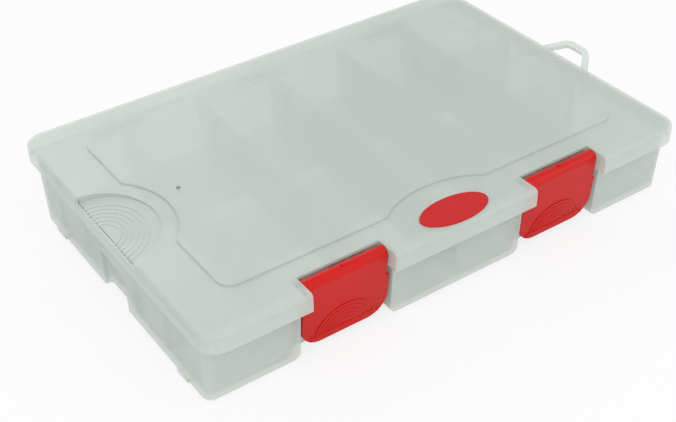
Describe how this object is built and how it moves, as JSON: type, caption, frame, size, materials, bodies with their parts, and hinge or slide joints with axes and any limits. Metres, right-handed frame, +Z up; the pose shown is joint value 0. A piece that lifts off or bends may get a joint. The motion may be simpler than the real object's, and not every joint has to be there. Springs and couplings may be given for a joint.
{
  "type": "tackle box",
  "caption": "Flat translucent tackle box with a hinged lid, snap latches, removable dividers, a thumb scoop and a hang loop.",
  "frame": {"origin": "centre of the round middle foot's face, on the surface the box stands on, midway along and across the lid", "axes": "+X along the box towards the hang loop, -Y towards the latches, +Z up"},
  "size_m": [0.383, 0.24, 0.0575],
  "materials": {
    "frosted_plastic": "frosted translucent",
    "divider_plastic": "frosted translucent",
    "latch_plastic": "smooth moulded red",
    "badge_print": "smooth red",
    "pin_steel": "drawn wire"
  },
  "bodies": {
    "tray_body": {"tray": "frosted_plastic", "hang_loop": "frosted_plastic", "hinge_pin_left": "pin_steel", "hinge_pin_middle": "pin_steel", "hinge_pin_right": "pin_steel", "divider_1_1": "divider_plastic", "divider_1_4": "divider_plastic", "divider_2_2": "divider_plastic", "divider_2_4": "divider_plastic", "divider_3_2": "divider_plastic", "divider_3_4": "divider_plastic", "divider_4_2": "divider_plastic", "divider_4_4": "divider_plastic", "divider_5_2": "divider_plastic", "divider_5_4": "divider_plastic", "divider_6_2": "divider_plastic", "divider_6_4": "divider_plastic"},
    "lid_body": {"lid": "frosted_plastic", "badge": "badge_print"},
    "latch_left_body": {"latch_left": "latch_plastic"},
    "latch_right_body": {"latch_right": "latch_plastic"}
  },
  "joints": [
    {"name": "lid_hinge", "type": "hinge", "parent": "tray_body", "child": "lid_body", "pos_m": [0, 0.1165, 0.04], "axis": [-1, 0, 0], "range_deg": [0, 180]},
    {"name": "latch_left_swing", "type": "hinge", "parent": "lid_body", "child": "latch_left_body", "pos_m": [-0.082, -0.108, 0.0512], "axis": [-1, 0, 0], "range_deg": [0, 110]},
    {"name": "latch_right_swing", "type": "hinge", "parent": "lid_body", "child": "latch_right_body", "pos_m": [0.082, -0.108, 0.0512], "axis": [-1, 0, 0], "range_deg": [0, 110]}
  ]
}
